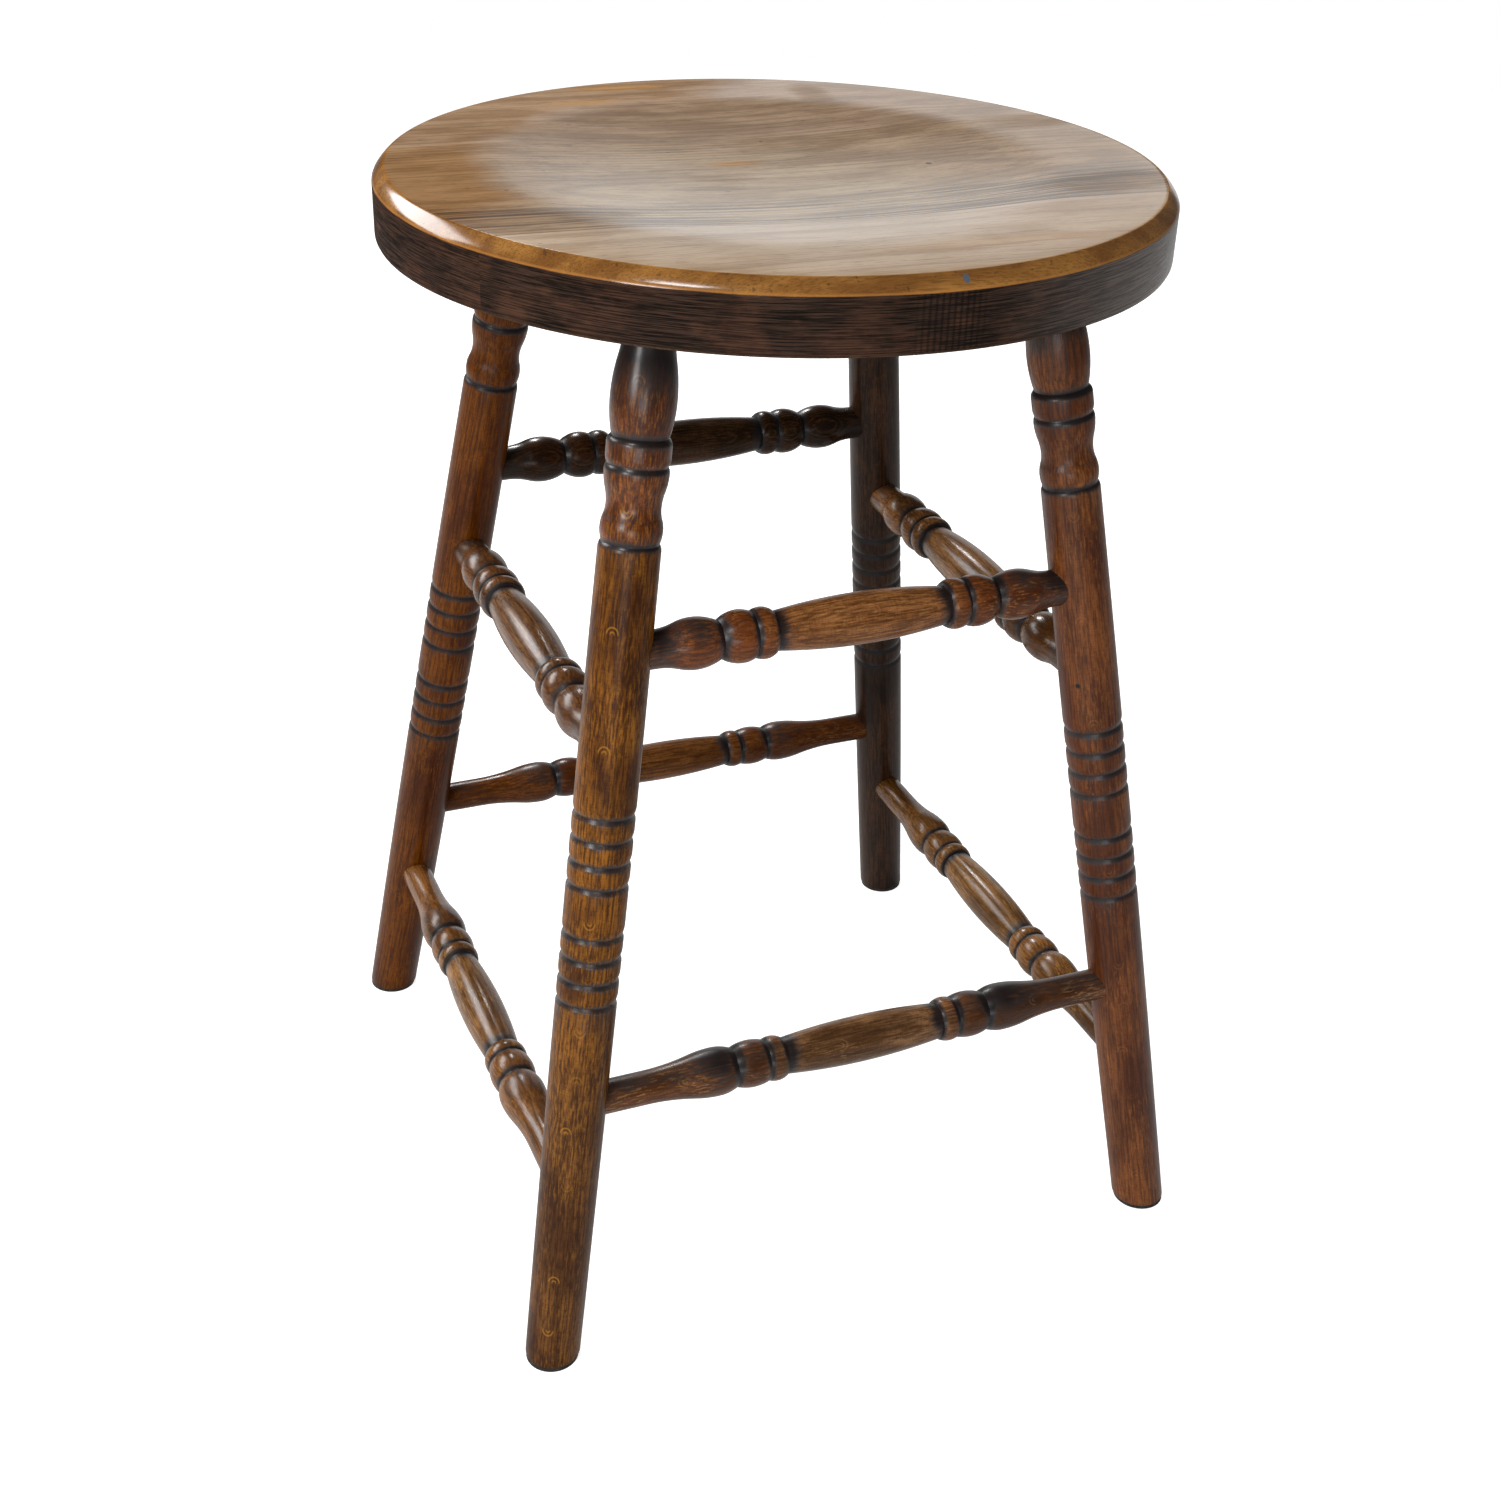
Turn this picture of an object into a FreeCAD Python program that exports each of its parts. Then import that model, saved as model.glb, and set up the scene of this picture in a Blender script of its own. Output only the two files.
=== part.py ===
import FreeCAD
import Part
import math
import os

# A farmhouse stool: a round dished seat glued up from three boards, four splayed turned legs in
# blind sockets, and a turned upper and lower stretcher on each of its four sides.
# Lengths are in millimetres. The origin is on the floor under the middle of the seat, +Z is up,
# and the sitter faces -Y, so the front stretchers lie on the -Y side.

# Whole stool
stool_height = 610.0
seat_diameter = 420.0
seat_thickness = 36.0
leg_spacing_at_seat = 215.0
leg_spacing_at_floor_across = 384.0
leg_spacing_at_floor_deep = 378.0

# Seat edge and dish
bevel_width = 6.4
bevel_drop = 7.2
bevel_crown = 0.5
seat_bottom_chamfer = 1.8
dish_inset = 40.0
dish_depth = 7.0
dish_lip_share = 0.15

# Seat boards and the dowels in their two glue joints
front_board_width = 107.5
rear_board_width = 137.5
board_skew_degrees = 2.2
dowel_diameter = 8.0
dowel_length = 36.0
dowel_height = 14.0
dowel_spacing = 100.0
dowels_per_joint = 4

# Leg shaft, measured along the leg's own axis from the floor
foot_diameter = 30.7
swell_diameter = 33.2
shaft_top_diameter = 31.8
ring_groove_depth = 0.85
ring_groove_rise = 4.6
ring_groove_fall = 2.4
ring_pitch = 13.0
ring_grooves_per_group = 4
lower_rings_height = 223.5
upper_rings_height = 290.5
foot_edge_round = 1.5

# Leg head, measured along the leg's own axis down from the seat
collar_groove_below_seat = 113.9
collar_groove_depth = 1.1
collar_diameter = 31.6
collar_below_seat = 107.6
collar_turn_share = 0.5
waist_below_seat = 96.0
waist_diameter = 27.7
cove_top_below_seat = 78.6
cove_turn_share = 0.54
band_groove_below_seat = 75.3
band_groove_depth = 1.0
band_diameter = 32.5
band_edge_length = 3.0
vase_foot_below_seat = 61.4
vase_foot_diameter = 28.6
vase_below_seat = 43.9
vase_diameter = 32.9
vase_neck_below_seat = 8.9
vase_turn_share = 0.57

# Foot pads
pad_thickness = 2.0
pad_inset = 0.6

# Upper stretchers: how far the axes lie below the seat, then the turning from the middle outwards
upper_front_below_seat = 169.0
upper_side_below_seat = 221.0
upper_barrel_half_length = 49.2
upper_barrel_diameter = 27.8
upper_barrel_end_diameter = 20.6
upper_disc_foot_diameter = 23.6
upper_disc_at = 55.0
upper_disc_diameter = 27.4
upper_groove_at = 60.6
upper_groove_diameter = 24.4
upper_ball_at = 67.4
upper_ball_diameter = 28.0
upper_neck_at = 78.9
upper_neck_diameter = 20.2
upper_bulb_at = 92.6
upper_bulb_diameter = 27.3
upper_bulb_turn_share = 0.43
upper_tail_at = 114.0
upper_tail_diameter = 20.2

# Lower stretchers: how high the axes lie above the floor, then the turning from the middle outwards
lower_front_height = 156.0
lower_side_height = 104.0
lower_barrel_half_length = 48.0
lower_barrel_diameter = 26.3
lower_barrel_end_diameter = 20.6
lower_disc_foot_diameter = 22.6
lower_disc_at = 53.6
lower_disc_diameter = 25.5
lower_groove_at = 58.6
lower_groove_diameter = 23.4
lower_ball_at = 67.6
lower_ball_diameter = 26.5
lower_neck_at = 77.8
lower_neck_diameter = 22.4
lower_bulb_at = 88.6
lower_bulb_diameter = 27.3
lower_bulb_turn_share = 0.34
lower_tail_at = 130.0
lower_tail_diameter = 18.8

# Joints
leg_tenon_diameter = 25.4
leg_tenon_depth = 24.0
stretcher_tenon_depth = 20.0
tenon_end_chamfer = 1.0
glue_gap = 0.1
socket_end_gap = 0.8
overrun = 5.0

# Values worked out from the sizes above
seat_radius = seat_diameter / 2
seat_underside = stool_height - seat_thickness
joint_places = {"front": front_board_width - seat_radius, "rear": seat_radius - rear_board_width}
UP = FreeCAD.Vector(0, 0, 1)
ORIGIN = FreeCAD.Vector(0, 0, 0)
joint_turn = FreeCAD.Rotation(UP, -board_skew_degrees)

# A corner is a pair of signs: side is -1 on the sitter's left and 1 on the right, and end is -1
# at the front and 1 at the back.
corners = [(side, end) for end in (-1, 1) for side in (-1, 1)]

upper_style = {
    "barrel_half_length": upper_barrel_half_length,
    "barrel_diameter": upper_barrel_diameter,
    "barrel_end_diameter": upper_barrel_end_diameter,
    "disc_foot_diameter": upper_disc_foot_diameter,
    "disc_at": upper_disc_at,
    "disc_diameter": upper_disc_diameter,
    "groove_at": upper_groove_at,
    "groove_diameter": upper_groove_diameter,
    "ball_at": upper_ball_at,
    "ball_diameter": upper_ball_diameter,
    "neck_at": upper_neck_at,
    "neck_diameter": upper_neck_diameter,
    "bulb_at": upper_bulb_at,
    "bulb_diameter": upper_bulb_diameter,
    "bulb_turn_share": upper_bulb_turn_share,
    "tail_at": upper_tail_at,
    "tail_diameter": upper_tail_diameter,
}
lower_style = {
    "barrel_half_length": lower_barrel_half_length,
    "barrel_diameter": lower_barrel_diameter,
    "barrel_end_diameter": lower_barrel_end_diameter,
    "disc_foot_diameter": lower_disc_foot_diameter,
    "disc_at": lower_disc_at,
    "disc_diameter": lower_disc_diameter,
    "groove_at": lower_groove_at,
    "groove_diameter": lower_groove_diameter,
    "ball_at": lower_ball_at,
    "ball_diameter": lower_ball_diameter,
    "neck_at": lower_neck_at,
    "neck_diameter": lower_neck_diameter,
    "bulb_at": lower_bulb_at,
    "bulb_diameter": lower_bulb_diameter,
    "bulb_turn_share": lower_bulb_turn_share,
    "tail_at": lower_tail_at,
    "tail_diameter": lower_tail_diameter,
}
# Level, height of the axis, whether it runs across (along X) and style: the stool has two of
# each, one on either side. Every leg takes one tenon of each, all at their own heights.
stretcher_kinds = [
    ("upper", seat_underside - upper_front_below_seat, True, upper_style),
    ("upper", seat_underside - upper_side_below_seat, False, upper_style),
    ("lower", lower_front_height, True, lower_style),
    ("lower", lower_side_height, False, lower_style),
]


def at(station, radius):
    """Point of a turning's outline: station along the axis, radius off it."""
    return FreeCAD.Vector(radius, 0, station)


def line(start, end):
    """Straight stretch of an outline."""
    return Part.LineSegment(start, end).toShape()


def level_arc(level, end):
    """Arc that runs level with the axis at one end point and reaches the other."""
    along = end.z - level.z
    out = end.x - level.x
    radius = (along ** 2 + out ** 2) / (2 * out)
    half_turn = math.atan(out / along)
    middle = at(level.z + radius * math.sin(half_turn), level.x + radius * (1 - math.cos(half_turn)))
    return Part.Arc(level, middle, end).toShape()


def s_curve(start, end, turn_share):
    """Two arcs, level with the axis at both ends, that meet smoothly at a share of the way."""
    turn = start + (end - start) * turn_share
    return [level_arc(start, turn), level_arc(end, turn)]


def turned(outline, first, last):
    """Solid of revolution from an outline that runs from first to last beside the axis."""
    closing = [
        line(at(first.z, 0), first),
        line(last, at(last.z, 0)),
        line(at(last.z, 0), at(first.z, 0)),
    ]
    wire = Part.Wire(Part.__sortEdges__(outline + closing))
    return Part.Face(wire).revolve(ORIGIN, UP, 360)


def placed(shape, base, direction):
    """Turn a shape from the Z axis to a direction and set its zero point on base."""
    shape.Placement = FreeCAD.Placement(base, FreeCAD.Rotation(UP, direction))
    return shape


def rod(radius, length, base, direction):
    """Plain round rod, also the cutter of a round hole."""
    return Part.makeCylinder(radius, length, base, direction)


def leg_foot_point(side, end):
    """Where a leg's axis meets the floor."""
    return FreeCAD.Vector(side * leg_spacing_at_floor_across / 2, end * leg_spacing_at_floor_deep / 2, 0)


def leg_seat_point(side, end):
    """Where a leg's axis meets the underside of the seat."""
    return FreeCAD.Vector(side * leg_spacing_at_seat / 2, end * leg_spacing_at_seat / 2, seat_underside)


def leg_point(side, end, height):
    """Point of a leg's axis at a height above the floor."""
    foot = leg_foot_point(side, end)
    return foot + (leg_seat_point(side, end) - foot) * (height / seat_underside)


def leg_direction(side, end):
    """Unit vector up a leg's axis."""
    return (leg_seat_point(side, end) - leg_foot_point(side, end)).normalize()


leg_length = (leg_seat_point(1, 1) - leg_foot_point(1, 1)).Length
shaft_top_station = leg_length - collar_groove_below_seat - ring_groove_fall
swell_height = (lower_rings_height + (ring_grooves_per_group - 1) * ring_pitch + upper_rings_height) / 2


def shaft_radius(station):
    """Radius of the leg's long swelled shaft, an arc each way from its thickest place."""
    reach = swell_height
    end_radius = foot_diameter / 2
    if station > swell_height:
        reach = shaft_top_station - swell_height
        end_radius = shaft_top_diameter / 2
    drop = swell_diameter / 2 - end_radius
    bend = (reach ** 2 + drop ** 2) / (2 * drop)
    return swell_diameter / 2 - bend + math.sqrt(bend ** 2 - (station - swell_height) ** 2)


def leg_radius_at(height):
    """Radius of the leg's shaft where a stretcher at this height enters it."""
    return shaft_radius(height / seat_underside * leg_length)


def shaft_stretch(low, high):
    """Slightly swelled stretch of the shaft between two stations, as two tapers."""
    middle = (low + high) / 2
    turn = at(middle, shaft_radius(middle))
    return [line(at(low, shaft_radius(low)), turn), line(turn, at(high, shaft_radius(high)))]


def ring_groove(station):
    """Scored groove around the shaft, steeper below than above."""
    low = at(station - ring_groove_fall, shaft_radius(station - ring_groove_fall))
    bottom = at(station, shaft_radius(station) - ring_groove_depth)
    high = at(station + ring_groove_rise, shaft_radius(station + ring_groove_rise))
    return [line(low, bottom), line(bottom, high)]


def leg_shaft_outline(start_station):
    """Outline from the leg's low end up to the groove under the collar."""
    edges = []
    low = start_station
    for group_height in (lower_rings_height, upper_rings_height):
        for index in range(ring_grooves_per_group):
            station = group_height + index * ring_pitch
            edges += shaft_stretch(low, station - ring_groove_fall)
            edges += ring_groove(station)
            low = station + ring_groove_rise
    return edges + shaft_stretch(low, shaft_top_station)


def under_seat(distance, radius):
    """Point of the leg's outline that lies a distance below the seat, along the leg."""
    return at(leg_length - distance, radius)


def leg_head_outline():
    """Outline of collar, cove, band and vase, from the shaft's top to the seat tenon's end."""
    shaft_top = at(shaft_top_station, shaft_top_diameter / 2)
    collar_groove = under_seat(collar_groove_below_seat, shaft_top_diameter / 2 - collar_groove_depth)
    collar = under_seat(collar_below_seat, collar_diameter / 2)
    waist = under_seat(waist_below_seat, waist_diameter / 2)
    cove_top = under_seat(cove_top_below_seat, band_diameter / 2)
    band_groove = under_seat(band_groove_below_seat, band_diameter / 2 - band_groove_depth)
    band_low = under_seat(band_groove_below_seat - band_edge_length, band_diameter / 2)
    band_high = under_seat(vase_foot_below_seat + band_edge_length, band_diameter / 2)
    vase_foot = under_seat(vase_foot_below_seat, vase_foot_diameter / 2)
    vase = under_seat(vase_below_seat, vase_diameter / 2)
    neck = under_seat(vase_neck_below_seat, leg_tenon_diameter / 2)
    tenon_edge = at(leg_length + leg_tenon_depth - tenon_end_chamfer, leg_tenon_diameter / 2)
    tenon_end = at(leg_length + leg_tenon_depth, leg_tenon_diameter / 2 - tenon_end_chamfer)
    edges = [level_arc(shaft_top, collar_groove), level_arc(collar, collar_groove)]
    edges += s_curve(collar, waist, collar_turn_share)
    edges += s_curve(waist, cove_top, 1 - cove_turn_share)
    edges += [
        level_arc(cove_top, band_groove),
        level_arc(band_low, band_groove),
        line(band_low, band_high),
        level_arc(band_high, vase_foot),
        level_arc(vase, vase_foot),
    ]
    edges += s_curve(vase, neck, vase_turn_share)
    edges += [line(neck, tenon_edge), line(tenon_edge, tenon_end)]
    return edges, tenon_end


def stretcher_socket(kind, side, end):
    """Cutter of the blind socket that one stretcher's tenon fills in a leg."""
    level, height, runs_across, style = kind
    inward = FreeCAD.Vector(-side, 0, 0) if runs_across else FreeCAD.Vector(0, -end, 0)
    depth_past_axis = stretcher_tenon_depth + socket_end_gap - leg_radius_at(height)
    start = leg_point(side, end, height) - inward * depth_past_axis
    length = stretcher_tenon_depth + socket_end_gap + overrun
    return rod(style["tail_diameter"] / 2 + glue_gap, length, start, inward)


def slab(low, high):
    """Level slab wider than the stool, between two heights."""
    width = seat_diameter + leg_spacing_at_floor_across
    return Part.makeBox(width, width, high - low, FreeCAD.Vector(-width / 2, -width / 2, low))


def leg(side, end):
    """One leg: turned, splayed both ways, cut level above its pad, with four blind sockets."""
    start_station = -(foot_diameter / 2 + overrun)
    head_edges, tenon_end = leg_head_outline()
    first = at(start_station, shaft_radius(start_station))
    blank = turned(leg_shaft_outline(start_station) + head_edges, first, tenon_end)
    shape = placed(blank, leg_foot_point(side, end), leg_direction(side, end))
    for kind in stretcher_kinds:
        shape = shape.cut(stretcher_socket(kind, side, end))
    shape = shape.cut(slab(-(foot_diameter + overrun), pad_thickness))
    foot_edges = [edge for edge in shape.Edges if edge.BoundBox.ZMax < pad_thickness + glue_gap]
    return shape.makeFillet(foot_edge_round, foot_edges)


def foot_pad(side, end):
    """Thin pad under a leg, cut to the leg's slanting outline and set in a little."""
    reach = foot_diameter / 2 + overrun
    axis = leg_direction(side, end)
    column = rod(foot_diameter / 2 - pad_inset, 2 * reach, leg_foot_point(side, end) - axis * reach, axis)
    return column.common(slab(0, pad_thickness))


def stretcher_outline(style, half_length):
    """Half of a stretcher's outline, from the middle of its barrel to the end of its tenon."""
    barrel = at(0, style["barrel_diameter"] / 2)
    barrel_end = at(style["barrel_half_length"], style["barrel_end_diameter"] / 2)
    disc_foot = at(style["barrel_half_length"], style["disc_foot_diameter"] / 2)
    disc = at(style["disc_at"], style["disc_diameter"] / 2)
    groove = at(style["groove_at"], style["groove_diameter"] / 2)
    ball = at(style["ball_at"], style["ball_diameter"] / 2)
    neck = at(style["neck_at"], style["neck_diameter"] / 2)
    bulb = at(style["bulb_at"], style["bulb_diameter"] / 2)
    tail = at(style["tail_at"], style["tail_diameter"] / 2)
    tenon_edge = at(half_length - tenon_end_chamfer, style["tail_diameter"] / 2)
    tenon_end = at(half_length, style["tail_diameter"] / 2 - tenon_end_chamfer)
    edges = [
        level_arc(barrel, barrel_end),
        line(barrel_end, disc_foot),
        level_arc(disc, disc_foot),
        level_arc(disc, groove),
        level_arc(ball, groove),
        level_arc(ball, neck),
        level_arc(bulb, neck),
    ]
    edges += s_curve(bulb, tail, style["bulb_turn_share"])
    edges += [line(tail, tenon_edge), line(tenon_edge, tenon_end)]
    return edges, barrel, tenon_end


def stretcher(kind, side):
    """One stretcher, both halves alike, set between the two legs that it joins."""
    level, height, runs_across, style = kind
    joined_corners = [(-1, side), (1, side)] if runs_across else [(side, -1), (side, 1)]
    start, finish = [leg_point(corner[0], corner[1], height) for corner in joined_corners]
    half_length = (finish - start).Length / 2 - leg_radius_at(height) + stretcher_tenon_depth
    outline, barrel, tenon_end = stretcher_outline(style, half_length)
    half = turned(outline, barrel, tenon_end)
    whole = half.fuse(half.mirror(ORIGIN, UP)).removeSplitter()
    return placed(whole, (start + finish) / 2, finish - start)


def flat_arc(flat, end):
    """Arc of the dish that is level with the floor at one end point and reaches the other."""
    along = end.x - flat.x
    rise = end.z - flat.z
    radius = (along ** 2 + rise ** 2) / (2 * rise)
    half_turn = math.atan(rise / along)
    middle = at(flat.z + radius * (1 - math.cos(half_turn)), flat.x + radius * math.sin(half_turn))
    return Part.Arc(flat, middle, end).toShape()


def seat_blank():
    """The whole round seat: flat underside, eased low edge, bevelled rim and shallow dish."""
    low_corner = at(seat_underside, seat_radius - seat_bottom_chamfer)
    side_low = at(seat_underside + seat_bottom_chamfer, seat_radius)
    side_high = at(stool_height - bevel_drop, seat_radius)
    bevel_top = at(stool_height, seat_radius - bevel_width)
    outward = FreeCAD.Vector(bevel_drop, 0, bevel_width).normalize()
    bevel_middle = (side_high + bevel_top) / 2 + outward * bevel_crown
    dish_edge = at(stool_height, seat_radius - dish_inset)
    dish_middle = at(stool_height - dish_depth, 0)
    lip = dish_edge + (dish_middle - dish_edge) * dish_lip_share
    edges = [
        line(low_corner, side_low),
        line(side_low, side_high),
        Part.Arc(side_high, bevel_middle, bevel_top).toShape(),
        line(bevel_top, dish_edge),
        flat_arc(dish_edge, lip),
        flat_arc(dish_middle, lip),
        line(dish_middle, at(seat_underside, 0)),
        line(at(seat_underside, 0), low_corner),
    ]
    wire = Part.Wire(Part.__sortEdges__(edges))
    return Part.Face(wire).revolve(ORIGIN, UP, 360)


def joint_dowels(place, radius, length):
    """Row of dowels, or of the cutters for their holes, square across one glue joint."""
    across = joint_turn.multVec(FreeCAD.Vector(0, 1, 0))
    rods = []
    for index in range(dowels_per_joint):
        along = (index - (dowels_per_joint - 1) / 2) * dowel_spacing
        centre = joint_turn.multVec(FreeCAD.Vector(along, place, seat_underside + dowel_height))
        rods.append(rod(radius, length, centre - across * (length / 2), across))
    return rods


def leg_socket(side, end):
    """Cutter of the blind socket that a leg's tenon fills in the seat."""
    axis = leg_direction(side, end)
    length = leg_tenon_depth + socket_end_gap + leg_tenon_diameter / 2
    start = leg_seat_point(side, end) - axis * (leg_tenon_diameter / 2)
    return rod(leg_tenon_diameter / 2 + glue_gap, length, start, axis)


def seat_board(blank, low, high):
    """One board of the seat between two joint lines, with its leg sockets and dowel holes."""
    corner = FreeCAD.Vector(-seat_diameter, low, seat_underside - overrun)
    zone = Part.makeBox(2 * seat_diameter, high - low, seat_thickness + 2 * overrun, corner)
    zone.Placement = FreeCAD.Placement(ORIGIN, joint_turn)
    shape = blank.common(zone)
    for side, end in corners:
        shape = shape.cut(leg_socket(side, end))
    hole_length = dowel_length + 2 * socket_end_gap
    for place in joint_places.values():
        for cutter in joint_dowels(place, dowel_diameter / 2 + glue_gap, hole_length):
            shape = shape.cut(cutter)
    return shape


def all_dowels():
    """The dowels of both glue joints, hidden in the seat."""
    rods = []
    for place in joint_places.values():
        rods += joint_dowels(place, dowel_diameter / 2, dowel_length)
    return Part.makeCompound(rods)


def save(name, shape):
    """Write one piece to its own file."""
    shape.exportStep("parts/" + name + ".step")
    print(name, "solids", len(shape.Solids), "volume", round(shape.Volume), "valid", shape.isValid())


os.makedirs("parts", exist_ok=True)

round_seat = seat_blank()
save("seat_front_board", seat_board(round_seat, -seat_diameter, joint_places["front"]))
save("seat_middle_board", seat_board(round_seat, joint_places["front"], joint_places["rear"]))
save("seat_rear_board", seat_board(round_seat, joint_places["rear"], seat_diameter))
save("seat_joint_dowels", all_dowels())

side_names = {-1: "left", 1: "right"}
end_names = {-1: "front", 1: "back"}
for side, end in corners:
    corner_name = end_names[end] + "_" + side_names[side]
    save(corner_name + "_leg", leg(side, end))
    save(corner_name + "_foot_pad", foot_pad(side, end))
for kind in stretcher_kinds:
    level, height, runs_across, style = kind
    for side in (-1, 1):
        place_name = end_names[side] if runs_across else side_names[side]
        save(place_name + "_" + level + "_stretcher", stretcher(kind, side))
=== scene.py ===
# %% [markdown]
# # A farmhouse stool
# A round dished seat stands on four splayed legs, and a turned stretcher joins each pair of legs
# high up and low down. Everything but the seat came off a lathe, so most of this lesson is about
# turning: an outline, spun about its own axis, and a wood finish that follows that axis.
# The construction frame gives every piece its size and place, and this script dresses it.

import math

import bpy
from mathutils import Matrix, Vector


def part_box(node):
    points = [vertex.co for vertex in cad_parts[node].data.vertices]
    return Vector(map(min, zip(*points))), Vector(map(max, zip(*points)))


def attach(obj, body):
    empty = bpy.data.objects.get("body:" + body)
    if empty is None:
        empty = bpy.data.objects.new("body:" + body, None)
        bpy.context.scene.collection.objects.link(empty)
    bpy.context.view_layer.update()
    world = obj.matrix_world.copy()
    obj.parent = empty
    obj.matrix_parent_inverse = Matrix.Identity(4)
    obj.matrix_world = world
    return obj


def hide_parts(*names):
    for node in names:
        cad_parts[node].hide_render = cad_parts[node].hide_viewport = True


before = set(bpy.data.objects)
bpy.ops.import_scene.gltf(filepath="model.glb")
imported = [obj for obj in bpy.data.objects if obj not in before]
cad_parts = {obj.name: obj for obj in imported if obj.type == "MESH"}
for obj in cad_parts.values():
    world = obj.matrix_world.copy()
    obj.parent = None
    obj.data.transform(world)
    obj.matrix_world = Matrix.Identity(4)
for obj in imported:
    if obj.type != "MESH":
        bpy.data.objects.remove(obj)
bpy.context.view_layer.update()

MM = 0.001
UP = Vector((0, 0, 1))

# %% [markdown]
# The stool's main places are read from the frame: how high the seat is, how thick and how wide,
# and how thick the foot pads are. Where each leg stands is given: a leg's axis runs from the middle
# of its foot pad, on a rectangle 384 by 378 mm, to a point under the seat that lies on a square,
# 215 mm apart each way.

# %% Places of the seat and the legs
seat_low, seat_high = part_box("seat_middle_board")
seat_top = seat_high[2]
seat_underside = seat_low[2]
seat_radius = seat_high[0]
pad_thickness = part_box("front_right_foot_pad")[1][2]
leg_spacing_at_seat = 215 * MM
leg_spacing_at_floor = (384 * MM, 378 * MM)
board_skew = math.radians(-2.2)
front_joint = -101.5 * MM
rear_joint = 71.5 * MM
corners = [(side, end) for end in (-1, 1) for side in (-1, 1)]
side_names = {-1: "left", 1: "right"}
end_names = {-1: "front", 1: "back"}


def foot_of(side, end):
    """Where a leg's axis meets the floor."""
    return Vector((side * leg_spacing_at_floor[0] / 2, end * leg_spacing_at_floor[1] / 2, 0))


def head_of(side, end):
    """Where a leg's axis meets the underside of the seat."""
    return Vector((side * leg_spacing_at_seat / 2, end * leg_spacing_at_seat / 2, seat_underside))


leg_length = (head_of(1, 1) - foot_of(1, 1)).length
print("seat top", seat_top, "seat radius", seat_radius, "leg length", leg_length)

# %% [markdown]
# ## The turner's gauge
# A turner works to an outline: beads, coves and tapers that follow each other along the axis. Each
# round stretch here is an arc that starts level with the axis, as a gouge rolled off the top of a
# bead leaves it. An outline is a list of (distance along the axis, radius) in millimetres.

# %% Arcs of an outline
def roll(level, end, steps=5):
    """Arc from a point where the surface runs level with the axis to another point."""
    along = end[0] - level[0]
    out = end[1] - level[1]
    radius = (along ** 2 + out ** 2) / (2 * out)
    turn = 2 * math.atan(out / along) / steps
    return [
        (level[0] + radius * math.sin(turn * k), level[1] + radius * (1 - math.cos(turn * k)))
        for k in range(steps + 1)
    ]


def roll_up(start, level, steps=5):
    """The same arc, taken from its steep end to its level end."""
    return roll(level, start, steps)[::-1]


def s_curve(start, end, turn_share, steps=6):
    """Level at both ends, with the bend changing at a share of the way."""
    turn = tuple(first + (last - first) * turn_share for first, last in zip(start, end))
    return roll(start, turn, steps) + roll_up(turn, end, steps)


def follow(*stretches):
    """Join stretches into one outline, without doubled points."""
    outline = []
    for stretch in stretches:
        for point in stretch:
            if not outline or math.dist(outline[-1], point) > 0.02:
                outline.append(point)
    return outline


print("a quarter bead:", [(round(a, 2), round(b, 2)) for a, b in roll((0, 10), (4, 7), 3)])

# %% [markdown]
# ## On the lathe
# A turned piece starts as a filled circle at one end of the outline. It is extruded to the next
# point and scaled to that point's radius, again and again, so the mesh grows as rings along the
# axis. Spinning an outline would do as well, but rings leave no seam to weld.
# Every point also remembers how deep the dark glaze lies on it, because the maker wiped a black
# glaze off the high places and left it in the grooves. At the head of a leg, under the seat, the
# same darkening is also painted shade, where the seat's shade falls.

# %% Turn a piece
smooth_under = math.radians(32)
smooth_under_on_seat = math.radians(40)


def put_down():
    """Leave nothing selected."""
    bpy.ops.object.select_all(action="DESELECT")


def pick(piece):
    """Select one piece alone and make it active."""
    put_down()
    piece.select_set(True)
    bpy.context.view_layer.objects.active = piece


def turn(name, outline, sides, smooth=smooth_under):
    """Turn a closed piece on the Z axis from an outline in millimetres."""
    put_down()
    start, radius = outline[0]
    bpy.ops.mesh.primitive_circle_add(
        vertices=sides, radius=radius * MM, fill_type="NGON", location=(0, 0, start * MM)
    )
    piece = bpy.context.object
    piece.name = name
    bpy.ops.object.transform_apply(location=True, rotation=False, scale=False)
    bpy.ops.object.mode_set(mode="EDIT")
    for (low, before), (high, after) in zip(outline, outline[1:]):
        step = (0, 0, (high - low) * MM)
        bpy.ops.mesh.extrude_region_move(TRANSFORM_OT_translate={"value": step})
        bpy.ops.transform.resize(value=(after / before, after / before, 1))
    bpy.ops.mesh.select_all(action="SELECT")
    bpy.ops.mesh.normals_make_consistent(inside=False)
    bpy.ops.object.mode_set(mode="OBJECT")
    bpy.ops.object.shade_smooth_by_angle(angle=smooth)
    print(name, "turned with", len(outline), "rings,", len(piece.data.polygons), "faces")
    return piece


def lay_glaze(piece, dark_places):
    """Keep, on every vertex, how much glaze the wiping left: 1 in a groove, 0 on a high place.
    At a leg's head under the seat it also holds painted shade.
    """
    glaze_and_shade = piece.data.attributes.new("glaze_and_shade", "FLOAT", "POINT")
    for vertex in piece.data.vertices:
        along = vertex.co.z / MM
        deepest = 0.0
        for middle, below, above, depth in dark_places:
            reach = above if along > middle else below
            deepest = max(deepest, depth * max(0.0, 1 - abs(along - middle) / reach))
        glaze_and_shade.data[vertex.index].value = deepest


def copy_of(piece, name):
    """A second piece off the same outline, with its own mesh."""
    pick(piece)
    bpy.ops.object.duplicate(linked=False)
    made = bpy.context.object
    made.name = name
    return made


def set_between(piece, base, direction):
    """Lay a turned piece along a direction with its zero on base, and apply its place."""
    pick(piece)
    piece.rotation_euler = UP.rotation_difference(direction).to_euler()
    piece.location = base
    bpy.ops.object.transform_apply(location=True, rotation=True, scale=True)


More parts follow.
